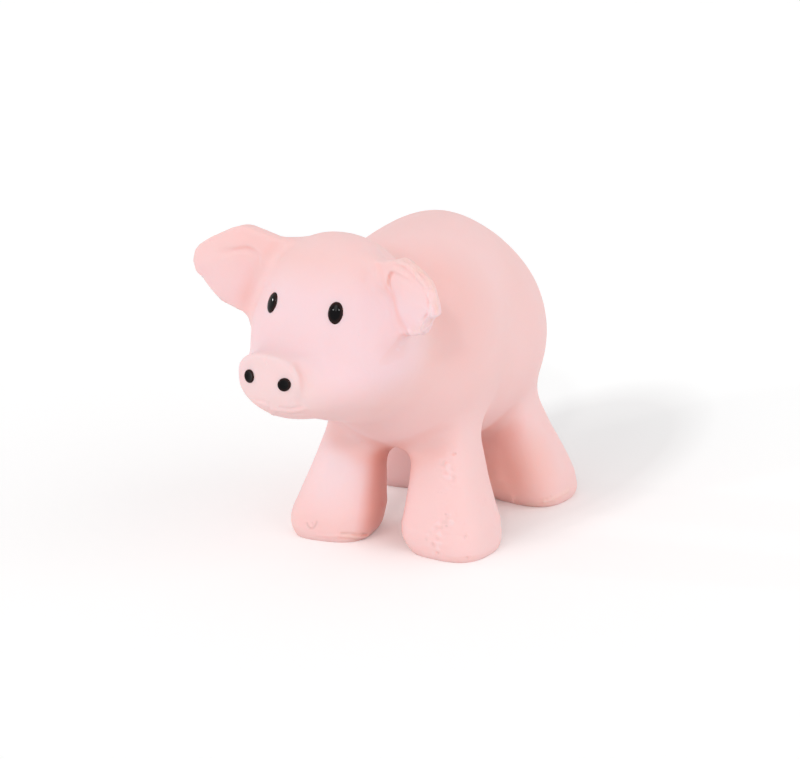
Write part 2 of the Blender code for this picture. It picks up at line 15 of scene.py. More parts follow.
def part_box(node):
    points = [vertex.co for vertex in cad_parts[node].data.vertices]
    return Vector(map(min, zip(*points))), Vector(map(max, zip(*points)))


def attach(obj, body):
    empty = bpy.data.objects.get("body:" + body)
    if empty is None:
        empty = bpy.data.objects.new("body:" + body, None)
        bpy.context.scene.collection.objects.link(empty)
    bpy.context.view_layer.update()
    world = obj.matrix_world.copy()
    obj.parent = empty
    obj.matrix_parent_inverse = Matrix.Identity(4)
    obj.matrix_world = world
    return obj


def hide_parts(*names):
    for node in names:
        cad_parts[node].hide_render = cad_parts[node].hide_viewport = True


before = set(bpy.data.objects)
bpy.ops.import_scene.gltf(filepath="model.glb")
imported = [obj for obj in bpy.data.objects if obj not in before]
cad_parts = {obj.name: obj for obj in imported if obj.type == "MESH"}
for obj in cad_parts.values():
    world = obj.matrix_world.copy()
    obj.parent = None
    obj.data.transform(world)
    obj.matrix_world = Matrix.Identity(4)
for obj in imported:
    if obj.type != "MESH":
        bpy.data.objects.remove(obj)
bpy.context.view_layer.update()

MM = 0.001
# Further away than anything on the stage, in millimetres
FAR = 1000.0
# Where the plug stands along Y in the frame of the forms, in millimetres
SETBACK = -2.0

plug_low, plug_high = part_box("belly_plug")
SHIFT = Vector(((plug_low.x + plug_high.x) / 2 / MM, (plug_low.y + plug_high.y) / 2 / MM - SETBACK, 0))

# Camera
IMAGE_WIDTH = 800
IMAGE_HEIGHT = 759
FOCAL_PIXELS = 1811.65
SENSOR_WIDTH = 36
CAMERA_AZIMUTH = math.radians(26.09)
CAMERA_ELEVATION = math.radians(14.207)
CAMERA_ROLL = math.radians(-0.05)
CAMERA_DISTANCE = 425.29
LOOK_AT = Vector((6.528, -32.79, 43.086)) + SHIFT


def make_camera():
    data = bpy.data.cameras.new("camera")
    data.sensor_width = SENSOR_WIDTH
    data.lens = FOCAL_PIXELS * SENSOR_WIDTH / IMAGE_WIDTH
    data.clip_start = 0.01
    data.clip_end = 50
    camera = bpy.data.objects.new("camera", data)
    bpy.context.scene.collection.objects.link(camera)
    pitch = math.pi / 2 - CAMERA_ELEVATION
    turn = Matrix.Rotation(CAMERA_AZIMUTH, 4, "Z") @ Matrix.Rotation(pitch, 4, "X")
    turn = turn @ Matrix.Rotation(CAMERA_ROLL, 4, "Z")
    back = turn.to_3x3() @ Vector((0, 0, 1))
    camera.matrix_world = Matrix.Translation((LOOK_AT + back * CAMERA_DISTANCE) * MM) @ turn
    bpy.context.scene.camera = camera
    return camera


CAMERA = make_camera()


def sight(across, down):
    """The eye and the direction of the sight line through a pixel of the photograph, in millimetres."""
    x = (across - IMAGE_WIDTH / 2) / FOCAL_PIXELS
    y = (IMAGE_HEIGHT / 2 - down) / FOCAL_PIXELS
    direction = CAMERA.matrix_world.to_3x3() @ Vector((x, y, -1))
    eye = CAMERA.matrix_world.translation / MM - SHIFT
    return eye, direction.normalized()



# Forms of the casting, in millimetres

# Eggs by their middle, half sizes and tilt about X in degrees
BARREL = ((0, -2.0, 48.5), (22.6, 34.0, 29.3), -1.4)
RUMP = ((0, 13.2, 44.0), (22.9, 27.0, 25.5), 0)
CHEST = ((0, -20.3, 48.5), (22.0, 20.3, 22.4), 0)
SKULL = ((0, -42.2, 56.5), (21.7, 15.5, 22.3), 6.6)
MUZZLE = ((0, -53.3, 47.7), (16.0, 13.0, 8.9), 6.6)
JAW = ((0, -61.8, 45.5), (9.2, 6.4, 5.75), 0)
CHEEK = ((12.4, -46.0, 55.0), (8.2, 8.2, 8.5), 0)
# Width of the blend with which each form joins the ones before it
BLENDS = {
    "rump": 6.0, "chest": 10.0, "head": 8.0, "legs": 5.0, "muzzle": 10.0, "jaw": 4.4, "cheek": 5.0,
    "snout": 2.6, "tail": 1.2}
# Beyond these planes the head, legs, jaw and snout can be left out
HEAD_UP_TO_Y = -12
LEGS_UP_TO_Z = 45
JAW_UP_TO_Z = 62
SNOUT_UP_TO_Y = -50

# Middle of the sole and top of each left leg
FRONT_LEG = ((16.3, -24.0, -0.6), (10.9, -16.2, 34.0))
REAR_LEG = ((17.6, 24.0, -0.6), (9.2, 19.2, 34.0))
# How square a leg is across, where 2 is round, and how it is turned
LEG_SQUARE = 2.8
LEG_TURN = np.array(Matrix.Rotation(math.radians(-7), 2))
# How far the soles stand to the pig's left, and up to what height
SOLE_DRIFT = 0.7
DRIFT_HEIGHT = 5
# Half width of the legs by height
FRONT_PROFILE = (
    (-1.2, 8.6), (0.0, 9.5), (0.8, 10.1), (1.8, 10.6), (3.0, 10.95), (4.5, 11.1), (6.5, 11.0), (9.0, 10.35),
    (12.0, 9.7), (16.0, 8.85), (20.0, 8.25), (25.0, 7.55), (30.0, 7.1), (36.0, 6.8))
REAR_PROFILE = (
    (-1.2, 8.7), (0.0, 9.7), (0.8, 10.4), (1.8, 11.1), (3.0, 11.7), (4.5, 12.05), (6.5, 12.15), (9.0, 11.8),
    (12.0, 11.2), (16.0, 10.3), (20.0, 9.4), (25.0, 8.5), (30.0, 7.7), (36.0, 7.0))
# The snout, a short oval disc on the straight head
SNOUT_MIDDLE = (-0.6, -68.1, 48.5)
SNOUT_LEAN = math.radians(4.0)
SNOUT_HALVES = (9.4, 6.1)
SNOUT_SQUARE = 2.4
SNOUT_LENGTH = 12
SNOUT_DOME = 0.5
SNOUT_ROUNDING = 1.1

# The curled tail, and how far behind the pig the search for the rump starts
CURL_RADIUS = 4.6
CURL_SHRINKS = 2.2
CURL_TURNS = 0.95
CURL_POINTS = 24
TAIL_HEIGHT = 52.0
BEHIND = 67.2


def blend(first, second, width):
    """The nearer of two distances, with a soft fillet where they come within width of each other."""
    overlap = np.maximum(width - np.abs(first - second), 0) / width
    return np.minimum(first, second) - overlap**2 * width / 4


def egg(points, centre, halves, tilt):
    """Distance to an ellipsoid with the given centre, half sizes and tilt about X in degrees."""
    turn = np.array(Matrix.Rotation(math.radians(tilt), 3, "X"))
    local = (points - centre) @ turn
    halves = np.array(halves)
    reach = np.linalg.norm(local / halves, axis=1)
    slope = np.linalg.norm(local / halves**2, axis=1)
    return reach * (reach - 1) / np.maximum(slope, 1e-9)


def leg(points, foot, top, profile):
    """Distance to a leaning leg, squarish across, whose half width changes with its height."""
    foot, top = np.array(foot), np.array(top)
    heights, widths = np.array(profile).T
    share = np.clip((points[:, 2] - foot[2]) / (top[2] - foot[2]), 0, 1)
    offset = np.abs((points - foot - share[:, None] * (top - foot))[:, :2] @ LEG_TURN)
    reach = (offset**LEG_SQUARE).sum(axis=1) ** (1 / LEG_SQUARE)
    width = np.interp(points[:, 2], heights, widths)
    slope = np.interp(points[:, 2], (heights[:-1] + heights[1:]) / 2, np.diff(widths) / np.diff(heights))
    side = (reach - width) / np.hypot(1, slope)
    end = np.maximum(foot[2] - points[:, 2], points[:, 2] - top[2])
    return np.maximum(side, end)


def to_segment(points, start, end):
    """The way to points from a segment's start, their share of its length and their distance to it."""
    edge = end - start
    from_start = points - start
    share = np.clip(from_start @ edge / (edge @ edge), 0, 1)
    return from_start, share, np.linalg.norm(from_start - share[:, None] * edge, axis=1)


def rope(points, course, radii):
    """Distance to a round rope through a row of points, with a radius at each."""
    result = np.full(len(points), np.inf)
    for start, end, near, far in zip(course, course[1:], radii, radii[1:]):
        _, share, gap = to_segment(points, start, end)
        result = np.minimum(result, gap - near - share * (far - near))
    return result


def within(points, chosen, measure):
    """A distance that is measured at the chosen points and far away at the others."""
    result = np.full(len(points), FAR)
    if chosen.any():
        result[chosen] = measure(points[chosen])
    return result


# How the head turns and leans on the neck
NECK = Vector((0, -25.0, 50.0))
HEAD_TURN = math.radians(-12.5)
HEAD_LEAN = math.radians(0.4)
HEAD_FRAME = (
    Matrix.Translation(NECK) @ Matrix.Rotation(HEAD_TURN, 4, "Z")
    @ Matrix.Rotation(HEAD_LEAN, 4, "Y") @ Matrix.Translation(-NECK))
TO_HEAD = np.array(HEAD_FRAME.inverted())


def curve_through(corners, steps, closed):
    """Points on a smooth curve through the corners."""
    corners = np.array(corners, float)
    count = len(corners)
    result = []
    for index in range(count if closed else count - 1):
        picks = [index - 1, index, index + 1, index + 2]
        picks = [p % count if closed else min(max(p, 0), count - 1) for p in picks]
        p0, p1, p2, p3 = corners[picks]
        for share in np.arange(steps) / steps:
            result.append(0.5 * (
                2 * p1 + (p2 - p0) * share + (2 * p0 - 5 * p1 + 4 * p2 - p3) * share**2
                + (3 * p1 - p0 - 3 * p2 + p3) * share**3))
    if not closed:
        result.append(corners[-1])
    return np.array(result)


def line_gap(points, course):
    """Distance to an open line in the plane, with the side of it and the share of its length."""
    best = np.full(len(points), np.inf)
    side = np.zeros(len(points))
    along = np.zeros(len(points))
    for index, (start, end) in enumerate(zip(course, course[1:])):
        from_start, share, gap = to_segment(points, start, end)
        edge = end - start
        closer = gap < best
        best = np.where(closer, gap, best)
        turn = edge[0] * from_start[:, 1] - edge[1] * from_start[:, 0]
        side = np.where(closer, np.sign(turn), side)
        along = np.where(closer, (index + share) / (len(course) - 1), along)
    return best, side, along


def outline_gap(points, outline):
    """Signed distance to a closed outline in the plane, negative inside."""
    gap = np.full(len(points), np.inf)
    inside = np.zeros(len(points), bool)
    for start, end in zip(outline, np.roll(outline, -1, axis=0)):
        from_start, _, to_edge = to_segment(points, start, end)
        edge = end - start
        gap = np.minimum(gap, to_edge)
        spans = (start[1] > points[:, 1]) != (end[1] > points[:, 1])
        across = from_start[:, 0] - (points[:, 1] - start[1]) * edge[0] / (edge[1] or 1e-9)
        inside ^= spans & (across < 0)
    return np.where(inside, -gap, gap)


def step_up(values, low, high):
    """A smooth rise from 0 at low to 1 at high."""
    share = np.clip((values - low) / (high - low), 0, 1)
    return share * share * (3 - 2 * share)


def swell(values, middle, width):
    """A smooth hump, 1 at the middle and falling to 0 away from it."""
    return np.exp(-((values - middle) / width) ** 2)


def rounded(side_gap, face_gap, rounding):
    """Distance to a body with a rounded edge, by the gaps to its side and face, set in by the rounding."""
    outside = np.hypot(np.maximum(side_gap, 0), np.maximum(face_gap, 0))
    return outside + np.minimum(np.maximum(side_gap, face_gap), 0) - rounding


# In each pair the pig's right ear, which is smooth, comes first, and its ragged left ear second.
# Outlines and folds, as the distance out from the head's middle and the height
EAR_OUTLINES = (
    curve_through((
        (11, 75.4), (15.6, 76.4), (18, 77.1), (20.2, 77.8), (23.4, 78.7), (26.2, 77.9),
        (28.7, 76.7), (31.3, 75.5), (34, 73.6), (35.4, 71.6), (35.7, 69.3), (35, 67.2),
        (33.3, 65.3), (31.3, 62.8), (29, 60.5), (26.4, 59.3), (24.2, 58.3), (22, 57.1),
        (20, 55.8), (14, 56), (9, 62), (9, 71)), 3, True),
    curve_through((
        (11, 74.2), (15.6, 74.9), (19, 75.3), (21.4, 75.9), (23.8, 76.2), (26.5, 75.8),
        (29.8, 74.7), (32.6, 72.9), (34.4, 70.9), (35.4, 68.7), (35.9, 66.3), (34.4, 65.4),
        (33.5, 64.4), (32.9, 63.2), (31.8, 61.9), (30.6, 61.1), (27.9, 60.5), (25.5, 60.1),
        (23, 59.3), (20, 58.1), (14, 58.2), (9, 62), (9, 71)), 3, True))
EAR_FOLDS = (
    curve_through((
        (26.4, 57.6), (25, 60.6), (22.8, 63.8), (20.6, 67.2), (19.2, 69.2), (18.8, 70.8),
        (18.9, 72.2), (20, 73.2), (22.1, 73.7), (25.2, 73.2), (28.7, 72.4), (32, 71.6)), 4, False),
    curve_through((
        (27, 58.6), (25.3, 61.1), (23, 63.7), (21.3, 67.2), (20.3, 68.8), (19.9, 70.4),
        (20, 72), (21, 73.1), (22.6, 73.5), (25.2, 73.2), (28, 72.6), (31, 71.2)), 4, False))
# How ragged and pinched each ear is
EAR_PINCHES = (0.0, 1.0)
# Width of the blend between each ear and the head, at the ear's upper and lower edge
EAR_BLENDS = ((3.6, 3.6), (3.2, 6.0))
BLEND_HEIGHTS = (60, 68)
# Where the flap's plane meets the head's middle, how it sweeps back, its half thickness and its edge
EAR_MIDDLE = -41.8
EAR_SWEEP = -0.33
EAR_HALF = 1.5
EAR_ROUNDING = 0.7
# Shares of the fold's course over which its lower, middle and upper stretch come and go
LOWER_GOES = (0.26, 0.50)
MIDDLE_COMES, MIDDLE_GOES = (0.34, 0.46), (0.62, 0.72)
UPPER_COMES, UPPER_GOES = (0.60, 0.72), (0.78, 1.0)
# Heights of the step inside the fold, the lip along it, the crown, the grain, and what the back adds
STEP_HEIGHT = 0.8
LIP_HEIGHT, PINCHED_LIP, LIP_FADES = 0.3, 0.1, 3.5
CROWN_HEIGHT = 0.8
GRAIN_HEIGHT = 0.16
BACK_ALL, BACK_MIDDLE, BACK_ROOT = 0.3, 1.2, 1.6
RIM_WIDTH = 1.4
# Place and width of the creases beside the fold, and of the grooves inside the rim and along the edge
MIDDLE_CREASE = (-0.1, 0.4)
UPPER_CREASE = (-0.35, 0.8)
RIM_GROOVE = (-1.0, 0.32)
EDGE_GROOVE = (0.4, 0.35)
# Where the ears and their fine mesh are: from how far out and how high, and round which plane how far
EAR_SPACE = (6, 50, -48, 14)
FINE_EARS = (15, 54, -50, 8)


def ripple(points, length, seed):
    """A smooth random pattern between about -1 and 1 with humps of the given length."""
    chance = np.random.default_rng(seed)
    total = np.zeros(len(points))
    for _ in range(9):
        direction = chance.normal(size=3)
        direction *= math.tau / (length * chance.uniform(1.4, 2.6)) / np.linalg.norm(direction)
        total += np.sin(points @ direction + chance.uniform(0, math.tau))
    return total / 3


def ear_distance(points, outline, fold, pinch):
    """Distance to an ear on the straight head, at its left side: a thick flap, folded near its root."""
    x, y, z = points.T
    depth = (y - EAR_MIDDLE - EAR_SWEEP * x) / math.hypot(1, EAR_SWEEP)
    flat = np.stack([x, z], axis=1)
    edge = outline_gap(flat, outline)
    gap, side, along = line_gap(flat, fold)
    signed = gap * side
    lower = 1 - step_up(along, *LOWER_GOES)
    middle = step_up(along, *MIDDLE_COMES) * (1 - step_up(along, *MIDDLE_GOES))
    upper = step_up(along, *UPPER_COMES) * (1 - step_up(along, *UPPER_GOES))
    step = -STEP_HEIGHT * pinch * step_up(signed, -3.2, 1.4) * lower
    lip = (LIP_HEIGHT + PINCHED_LIP * pinch) * step_up(signed, -0.4, 0.6)
    lip = lip * np.exp(-np.maximum(signed, 0) / LIP_FADES) * (middle + upper)
    dent = 0.4 * pinch * swell(signed, *MIDDLE_CREASE) * middle
    dent += (0.45 - 0.4 * pinch) * swell(signed, *UPPER_CREASE) * upper
    dent += 0.3 * pinch * swell(edge, *RIM_GROOVE) * step_up(x, 21, 24) * step_up(z, 63, 66)
    ragged = pinch * step_up(edge, -1.6, -0.8) * step_up(x, 23, 27) * (0.1 + 0.2 * ripple(points, 1.5, 7))
    crown = CROWN_HEIGHT * step_up(-edge, 0, 6) * step_up(x, 20, 26)
    front = EAR_HALF + crown + step + lip - dent + ragged
    root = BACK_ROOT * (1 - step_up(x, 16, 26)) * step_up(-edge, 0, 5)
    back = EAR_HALF + BACK_ALL + BACK_MIDDLE * step_up(-edge, 0, 8) + root
    centre = (back - front) / 2
    half = (back + front) / 2
    rim = swell(edge, 0, RIM_WIDTH) * step_up(x, 21, 25)
    rough = ripple(points, 1.6, 3) * GRAIN_HEIGHT + ripple(points, 4.0, 4) * GRAIN_HEIGHT
    rough = rough - 0.3 * swell(depth, *EDGE_GROOVE)
    side_gap = edge + EAR_ROUNDING + rough * rim * (0.3 + 0.7 * pinch)
    return rounded(side_gap, np.abs(depth - centre) - half + EAR_ROUNDING, EAR_ROUNDING)


def snout_distance(points):
    """Distance to the snout on the straight head: a short oval disc with a rounded edge."""
    local = (points - SNOUT_MIDDLE) @ np.array(Matrix.Rotation(SNOUT_LEAN, 3, "X"))
    flat = local[:, (0, 2)]
    reach = (np.abs(flat / SNOUT_HALVES) ** SNOUT_SQUARE).sum(axis=1) ** (1 / SNOUT_SQUARE)
    side = (reach - 1) * np.linalg.norm(flat, axis=1) / np.maximum(reach, 1e-6)
    setback = SNOUT_DOME * np.minimum(reach, 1) ** 2
    disc = rounded(side + SNOUT_ROUNDING, setback - local[:, 1] + SNOUT_ROUNDING, SNOUT_ROUNDING)
    return np.maximum(disc, local[:, 1] - SNOUT_LENGTH)


def straightened(points):
    """Points in the frame of the head, before it turns."""
    return points @ TO_HEAD[:3, :3].T + TO_HEAD[:3, 3]


def head_distance(points):
    """Distance to the head without its ears."""
    straight = straightened(points)
    head = blend(egg(straight, *SKULL), egg(straight, *MUZZLE), BLENDS["muzzle"])
    jaw = within(straight, straight[:, 2] < JAW_UP_TO_Z, lambda p: egg(p, *JAW))
    head = blend(head, jaw, BLENDS["jaw"])
    mirrored = straight.copy()
    mirrored[:, 0] = np.abs(mirrored[:, 0])
    head = blend(head, egg(mirrored, *CHEEK), BLENDS["cheek"])
    return blend(head, within(straight, straight[:, 1] < SNOUT_UP_TO_Y, snout_distance), BLENDS["snout"])


def about_ears(straight, out, up, front, reach):
    return (np.abs(straight[:, 0]) > out) & (straight[:, 2] > up) & (np.abs(straight[:, 1] - front) < reach)


def add_ears(points, body):
    """A body's distance with the ears on it."""
    straight = straightened(points)
    chosen = about_ears(straight, *EAR_SPACE)
    for side, outline, fold, pinch, widths in zip((-1, 1), EAR_OUTLINES, EAR_FOLDS, EAR_PINCHES, EAR_BLENDS):
        there = chosen & (straight[:, 0] * side > 0)
        if there.any():
            local = straight[there] * (side, 1, 1)
            width = widths[1] + (widths[0] - widths[1]) * step_up(local[:, 2], *BLEND_HEIGHTS)
            body[there] = blend(body[there], ear_distance(local, outline, fold, pinch), width)
    return body


def legs_distance(points):
    mirrored = points.copy()
    mirrored[:, 0] = np.abs(mirrored[:, 0] - SOLE_DRIFT * step_up(-points[:, 2], -DRIFT_HEIGHT, 0))
    return np.minimum(leg(mirrored, *FRONT_LEG, FRONT_PROFILE), leg(mirrored, *REAR_LEG, REAR_PROFILE))


def casting_distance(points):
    """Distance to the outside of the rubber, but its tail. Inside, it is negative."""
    trunk = blend(egg(points, *BARREL), egg(points, *RUMP), BLENDS["rump"])
    trunk = blend(trunk, egg(points, *CHEST), BLENDS["chest"])
    whole = blend(trunk, within(points, points[:, 1] < HEAD_UP_TO_Y, head_distance), BLENDS["head"])
    whole = blend(whole, within(points, points[:, 2] < LEGS_UP_TO_Z, legs_distance), BLENDS["legs"])
    return add_ears(points, whole)


def slope_of(distance, points, probe=0.01):
    here = distance(points)
    slopes = [(distance(points + axis * probe) - here) / probe for axis in np.eye(3)]
    return here, np.stack(slopes, axis=1)


def first_hit(distance, start, direction, reach, steps=40):
    """The first point of a surface on a straight line."""
    start, direction = np.array(start), np.array(direction)
    shares = np.linspace(0, reach, steps * 4)
    signs = distance(start + shares[:, None] * direction) < 0
    if not signs.any():
        return None
    far = shares[signs.argmax()]
    near = far - shares[1]
    for _ in range(steps):
        middle = (near + far) / 2
        if distance((start + middle * direction)[None])[0] < 0:
            far = middle
        else:
            near = middle
    return start + near * direction


def tail_course():
    course = []
    for share in np.linspace(0, 1, CURL_POINTS):
        radius = CURL_RADIUS - CURL_SHRINKS * share
        angle = math.tau * CURL_TURNS * share - math.pi / 2
        start = (radius * math.cos(angle), BEHIND, TAIL_HEIGHT + radius * math.sin(angle))
        course.append(first_hit(casting_distance, start, (0, -1, 0), BEHIND))
    return np.array(course)


TAIL = tail_course()
TAIL_RADII = np.interp(np.arange(len(TAIL)), (0, len(TAIL) * 0.6, len(TAIL) - 1), (1.4, 1.3, 1.0))


def plain_distance(points):
    """Distance to the rubber's outside before its small marks."""
    near_tail = (points[:, 1] > 25) & (points[:, 2] > 40)
    tail = within(points, near_tail, lambda p: rope(p, TAIL, TAIL_RADII))
    uneven = ripple(points, 8.0, 1) * 0.05 + ripple(points, 20.0, 2) * 0.1
    return blend(casting_distance(points), tail, BLENDS["tail"]) + uneven * step_up(points[:, 2], 2, 8)


# The search for the skin along a sight line, in millimetres
NEAREST = 345.0
SEARCH_STEPS = 110
STEP_SHARE = 0.8
LONGEST_STEP = 1.5


def seen_at(pixels):
    """The places on the skin that show at pixels of the photograph."""
    eye = np.array(sight(*pixels[0])[0])
    directions = np.array([sight(*pixel)[1] for pixel in pixels])
    reach = np.full(len(pixels), NEAREST)
    for _ in range(SEARCH_STEPS):
        reach += np.minimum(plain_distance(eye + directions * reach[:, None]) * STEP_SHARE, LONGEST_STEP)
    return eye + directions * reach[:, None]


# Small marks by their course in the photograph, with their half width in millimetres and how far they go
# in, where a mark that stands out has a minus
MARK_COURSES = (
    # the mouth with its lips, corner and seam, the bead on the chin, and the nick and the dent of the snout
    (((281, 408), (286, 408.8), (291, 408.8), (296, 407.9), (301, 407)), 0.4, 0.26),
    (((271.5, 409.2), (277, 410), (283, 411), (289, 411.6), (295, 411.2), (300, 410.2),
      (305, 408.4)), 0.5, -0.28),
    (((280, 414), (288, 414.2), (296, 413.6), (301, 413)), 0.5, 0.12),
    (((256.5, 400.2), (260, 400.4), (264, 401.2)), 0.4, 0.12),
    (((258.5, 402.8), (262, 403.8), (266.5, 405.6)), 0.5, -0.22),
    (((297, 397.5), (299.4, 402.5)), 1.1, 0.28),
    (((269.4, 403), (269.2, 406), (269.8, 410)), 0.35, 0.14),
    (((271.8, 413.4), (273.2, 414.2)), 0.5, -0.4),
    (((266.3, 357.5), (265.9, 362)), 0.5, 0.3),
    (((298, 401), (302.5, 393), (305, 384), (304.4, 375), (300.4, 366)), 1.5, 0.45),
    # the hoof mark on the front right foot, the chips and flash at its rim and two small marks above it
    (((306.8, 523.4), (307.8, 526.2), (309.8, 528.2), (312.4, 528.8)), 0.26, 0.3),
    (((316.4, 522.2), (315.6, 525), (314.2, 527.4), (312.4, 528.8)), 0.26, 0.34),
    (((311.8, 523.4), (312.6, 525.8)), 0.24, 0.2),
    (((310, 524.6), (310.4, 526.4)), 0.4, -0.2),
    (((341, 533.8), (350, 533.4), (358, 534.4), (367, 534.2)), 0.32, 0.34),
    (((352, 536.2), (360, 536.8), (367, 536)), 0.6, -0.35),
    (((340, 538.8), (350, 539.4), (362, 538.8)), 0.4, 0.22),
    (((318, 535.4), (328, 536.2), (338, 535.8)), 0.35, -0.16),
    (((381.6, 502.4), (382.4, 504.6)), 0.4, 0.25),
    (((360.6, 440), (361.2, 441)), 0.4, -0.15),
    # pits and a bump on the front left leg
    (((453, 453.4), (453.2, 453.6)), 0.3, 0.45),
    (((455.4, 453.2), (455.6, 453.4)), 0.2, 0.25),
    (((445.2, 514.2), (445.6, 514.6)), 0.26, 0.25),
    (((446, 525.8), (446.4, 526)), 0.24, 0.25),
    (((465, 536.6), (465.4, 537.8)), 0.28, 0.4),
    (((467, 534.8), (467.6, 535.2)), 0.34, -0.3),
    (((437.4, 553), (438, 553.6)), 0.32, 0.45),
    (((466.6, 557.6), (467, 557.8)), 0.26, 0.25),
    # the valley down the rear left leg, and the nubs and thin flash on its foot
    (((496, 452), (501, 467), (505.5, 482), (507, 500)), 2.4, 0.45),
    (((513, 497), (513.6, 500), (514.2, 502.8)), 0.5, -0.4),
    (((517.6, 504.6), (518.4, 504.8)), 0.4, -0.3),
    (((544, 501.8), (549, 500), (553, 499), (560, 495.4), (568, 491)), 0.45, -0.28),
    (((546, 499), (550.5, 496.8)), 0.3, 0.14),
    # flash and nicks on the rim of the left ear
    (((409.6, 268.6), (412.6, 273), (414.6, 276.6)), 0.5, 0.35),
    (((407, 259.6), (411.5, 262), (416, 266.4), (421.5, 271.4)), 0.35, -0.3),
    (((416.4, 275), (419, 278.6)), 0.6, -0.35),
    (((430.4, 291), (432, 297.4)), 0.8, -0.3),
    (((433.6, 305), (436.2, 310.6)), 0.6, 0.35),
    (((424.5, 329), (428.8, 324.6)), 0.4, 0.25),
    # the parting line on the right ear
    (((234.6, 229.8), (238.4, 227.6)), 0.4, 0.25),
    (((209, 240.6), (211.4, 240)), 0.4, 0.2),
)


def place_marks():
    pixels = [pixel for course, _, _ in MARK_COURSES for pixel in course]
    places = seen_at(pixels)
    marks = []
    for course, width, depth in MARK_COURSES:
        marks.append((places[:len(course)], width, depth))
        places = places[len(course):]
    return marks


MARKED = place_marks()
# Blistered patches on the front left leg, with their half width
BLISTER_PIXELS = (
    (((445, 464), (448.6, 473), (449.4, 484)), 1.5),
    (((446, 522), (436, 531), (432, 541), (436, 549)), 1.9),
)
BLISTERS = [(seen_at(course), width) for course, width in BLISTER_PIXELS]
# Where thin flash is left from the mould, in the photograph
FLASH_PIXELS = (
    ((342, 536), (352, 536.4), (366, 536.6)),
    ((530, 505), (544, 501.8), (553, 499.6), (568, 490.6)),
    ((405, 259.6), (412, 263.4), (420, 270), (428, 279), (434, 289), (437.4, 300),
     (438.4, 310)),
    ((431.5, 319), (429, 324.5), (424, 329), (415, 331.5)),
)
FLASH_COURSES = [seen_at(course) for course in FLASH_PIXELS]
# The blisters' height, and the length and seed of their pattern
BLISTER_HEIGHT = 0.12
BLISTER_PATTERN = (0.9, 11)


def near_mark(points, course, reach):
    """Which points lie in the ball round a course that holds everything within reach of it."""
    middle = (course.min(axis=0) + course.max(axis=0)) / 2
    span = np.linalg.norm(course - middle, axis=1).max() + reach
    return ((points - middle) ** 2).sum(axis=1) < span * span


def gap_near(points, course, reach):
    near = near_mark(points, course, reach)
    return near, rope(points[near], course, np.zeros(len(course)))


def blisters_at(points):
    """Small random blisters and pits on the skin, in its blistered patches."""
    result = np.zeros(len(points))
    for course, width in BLISTERS:
        near, gap = gap_near(points, course, 2.5 * width)
        result[near] += swell(gap, 0, width) * ripple(points[near], *BLISTER_PATTERN)
    return result


def skin_distance(points):
    """Distance to the outside of the rubber, marks and all. Inside, it is negative."""
    result = plain_distance(points)
    for course, width, depth in MARKED:
        near, gap = gap_near(points, course, 3 * width)
        result[near] += depth * swell(gap, 0, width)
    return result - BLISTER_HEIGHT * blisters_at(points)


def mark_levels(points):
    """How often the mesh is halved for the small marks: twice, and once for the wide ones."""
    levels = np.zeros(len(points), int)
    for course, width, _ in MARKED:
        reach = 2 * min(width, 0.8) + 0.6
        near, gap = gap_near(points, course, reach)
        levels[near] = np.maximum(levels[near], np.where(gap < reach, 2 if width < 1 else 1, 0))
    for course, width in BLISTERS:
        levels[near_mark(points, course, 1.6 * width)] = 2
    return levels


# Mesh of the casting

# The hole for the plug: its radius, what its wall stays under, and the cutter's middle and depth
HOLE_RADIUS = 4.8
HOLE_BELOW = 30
HOLE_MIDDLE = 19
HOLE_DEPTH = 14
FLOOR_BLOCK = 300
GRID_LOW = np.array((-46.0, -84.0, -4.0))
GRID_HIGH = np.array((46.0, 50.0, 84.0))
GRID_STEP = 1.0
# Steps in a coarse one, and within how many coarse ones of the skin the grid is worked out in full
COARSE = 4
FULL_WITHIN = 2.2
# Where the mesh is halved for the snout and the soles, and twice for the ragged rim
FINE_SNOUT_UP_TO_Y = -56
FINE_SOLES_UP_TO_Z = 4
FINE_RIM = -2.8
# How far from the skin its closed-in places are felt for, to lay painted shade in its crooks
CREVICE_SHADE_PROBES = (2.0, 5.0, 10.0, 16.0)
FLASH_WIDTH = 1.1
# Narrow marks deeper than this are dark specks
SPECK_UNDER = 0.35
SPECK_DEPTH = 0.2
SPECK_WIDTH = 0.3
INTO_FRAME = Matrix.Scale(MM, 4) @ Matrix.Translation(SHIFT)
OUT_OF_FRAME = Matrix.Translation(-SHIFT) @ Matrix.Scale(1 / MM, 4)


def new_mesh(name, bm):
    mesh = bpy.data.meshes.new(name)
    bm.to_mesh(mesh)
    bm.free()
    return mesh


def on_hole(vert):
    return abs(math.hypot(vert.co.x, vert.co.y - SETBACK) - HOLE_RADIUS) < 0.1 and vert.co.z < HOLE_BELOW


def hollow_mesh():
    """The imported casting's hollow as a closed mesh in millimetres."""
    bm = bmesh.new()
    bm.from_mesh(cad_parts["rubber_skin"].data)
    bmesh.ops.remove_doubles(bm, verts=bm.verts, dist=1e-6)
    bmesh.ops.transform(bm, matrix=OUT_OF_FRAME, verts=bm.verts)
    wall = [face for face in bm.faces if all(on_hole(v) for v in face.verts)]
    bmesh.ops.delete(bm, geom=wall, context="FACES")
    bmesh.ops.holes_fill(bm, edges=[e for e in bm.edges if e.is_boundary], sides=0)
    bmesh.ops.triangulate(bm, faces=[f for f in bm.faces if len(f.verts) > 4])
    start = max(bm.verts, key=lambda v: v.co.z)
    outside = {start}
    front = [start]
    while front:
        vert = front.pop()
        for edge in vert.link_edges:
            other = edge.other_vert(vert)
            if other not in outside:
                outside.add(other)
                front.append(other)
    bmesh.ops.delete(bm, geom=list(outside), context="VERTS")
    bmesh.ops.reverse_faces(bm, faces=bm.faces)
    return new_mesh("hollow", bm)


